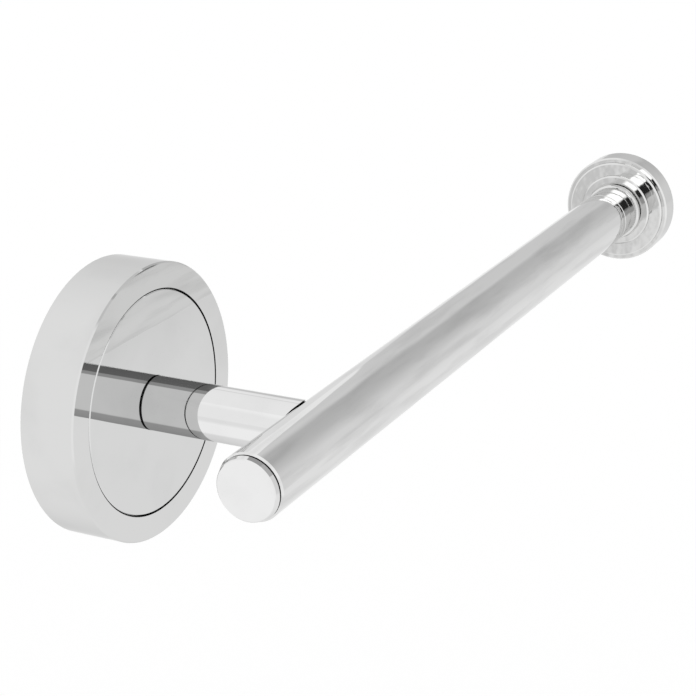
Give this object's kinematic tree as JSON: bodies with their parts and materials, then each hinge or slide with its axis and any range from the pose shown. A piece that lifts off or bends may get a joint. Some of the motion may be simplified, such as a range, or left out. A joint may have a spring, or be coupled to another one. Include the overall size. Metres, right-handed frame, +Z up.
{
  "type": "wall-mounted toilet roll storage holder",
  "caption": "Round wall rose with a short arm carrying a long horizontal bar that stores toilet rolls, capped at one end and with a stepped round stop at the other.",
  "frame": {"origin": "centre of the rose on the wall, on the back face of the wall bracket", "axes": "+Y into the wall, +Z up, +X along the bar from the arm towards the stop"},
  "size_m": [0.2668, 0.0843, 0.0754],
  "materials": {
    "rose_chrome": "polished chrome plate",
    "disc_chrome": "polished chrome plate",
    "arm_chrome": "polished chrome plate",
    "bar_chrome": "drawn tube under polished chrome plate",
    "stop_chrome": "turned and polished chrome plate",
    "bracket_zinc": "zinc plated pressing",
    "plain_steel": "bright zinc plated steel",
    "dark_steel": "dark plated steel",
    "turned_brass": "turned brass"
  },
  "bodies": {
    "root": {"wall_bracket": "bracket_zinc", "rose_cover": "rose_chrome", "face_disc": "disc_chrome", "backing_plate": "bracket_zinc", "rose_grub_screw": "dark_steel", "arm": "arm_chrome", "arm_dowel": "plain_steel", "disc_dowel": "plain_steel", "tie_rod": "plain_steel", "flat_washer": "plain_steel", "spring_washer": "plain_steel", "tie_nut": "plain_steel", "roll_bar": "bar_chrome", "bar_insert": "turned_brass", "near_end_cap": "arm_chrome", "end_plug": "turned_brass", "end_stud": "plain_steel", "end_neck": "stop_chrome", "end_stop": "stop_chrome"}
  },
  "joints": []
}
